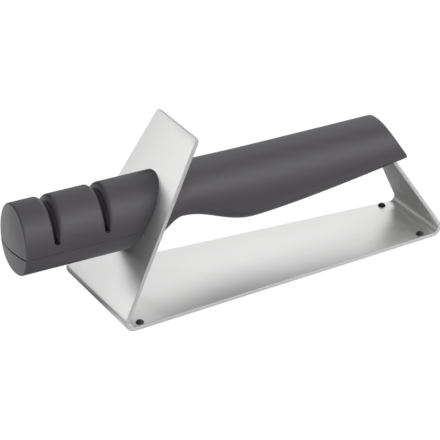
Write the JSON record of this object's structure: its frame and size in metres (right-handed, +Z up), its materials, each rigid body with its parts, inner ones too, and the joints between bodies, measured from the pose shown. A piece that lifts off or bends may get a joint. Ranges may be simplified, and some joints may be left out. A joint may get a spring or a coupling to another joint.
{
  "type": "pull through knife sharpener",
  "caption": "Handheld-style knife sharpener fixed in a bent steel stand: a head with knife slots over wheel pairs, a slanted guard plate, and a contoured handle.",
  "frame": {"origin": "on the ground under the middle of the whole object's box", "axes": "+X from the sharpening head to the handle's tail, +Y across, +Z up"},
  "size_m": [0.2386, 0.0676, 0.0902],
  "materials": {
    "stainless_sheet": "stainless sheet, brushed along its length, fine satin grain",
    "foot_rubber": "black rubber, smooth domed heads",
    "body_plastic": "charcoal moulded plastic, matte with a soft sheen",
    "screw_steel": "zinc plated steel",
    "holder_plastic": "black moulded acetal",
    "axle_steel": "ground steel",
    "diamond_wheel": "steel coated with fine grey diamond grit",
    "ceramic_wheel": "dark sintered ceramic, fine matte"
  },
  "bodies": {
    "root": {"stand": "stainless_sheet", "foot_front_left": "foot_rubber", "foot_front_right": "foot_rubber", "foot_rear_left": "foot_rubber", "foot_rear_right": "foot_rubber", "head_shell": "body_plastic", "head_cover": "body_plastic", "handle": "body_plastic", "cover_screws": "screw_steel", "tongue_screws": "screw_steel", "coarse_holder": "holder_plastic", "coarse_axle": "axle_steel", "coarse_spacer": "axle_steel", "coarse_washers": "axle_steel", "fine_holder": "holder_plastic", "fine_axle": "axle_steel", "fine_spacer": "axle_steel", "fine_washers": "axle_steel"},
    "coarse_wheel_front_body": {"coarse_wheel_front": "diamond_wheel"},
    "coarse_wheel_rear_body": {"coarse_wheel_rear": "diamond_wheel"},
    "fine_wheel_front_body": {"fine_wheel_front": "ceramic_wheel"},
    "fine_wheel_rear_body": {"fine_wheel_rear": "ceramic_wheel"}
  },
  "joints": [
    {"name": "coarse_wheel_front_spin", "type": "hinge", "parent": "root", "child": "coarse_wheel_front_body", "pos_m": [-0.10013, 0, 0.0441], "axis": [1, 0, 0], "continuous": true},
    {"name": "coarse_wheel_rear_spin", "type": "hinge", "parent": "root", "child": "coarse_wheel_rear_body", "pos_m": [-0.10013, 0, 0.0441], "axis": [1, 0, 0], "continuous": true},
    {"name": "fine_wheel_front_spin", "type": "hinge", "parent": "root", "child": "fine_wheel_front_body", "pos_m": [-0.07293, 0, 0.0441], "axis": [1, 0, 0], "continuous": true},
    {"name": "fine_wheel_rear_spin", "type": "hinge", "parent": "root", "child": "fine_wheel_rear_body", "pos_m": [-0.07293, 0, 0.0441], "axis": [1, 0, 0], "continuous": true}
  ]
}
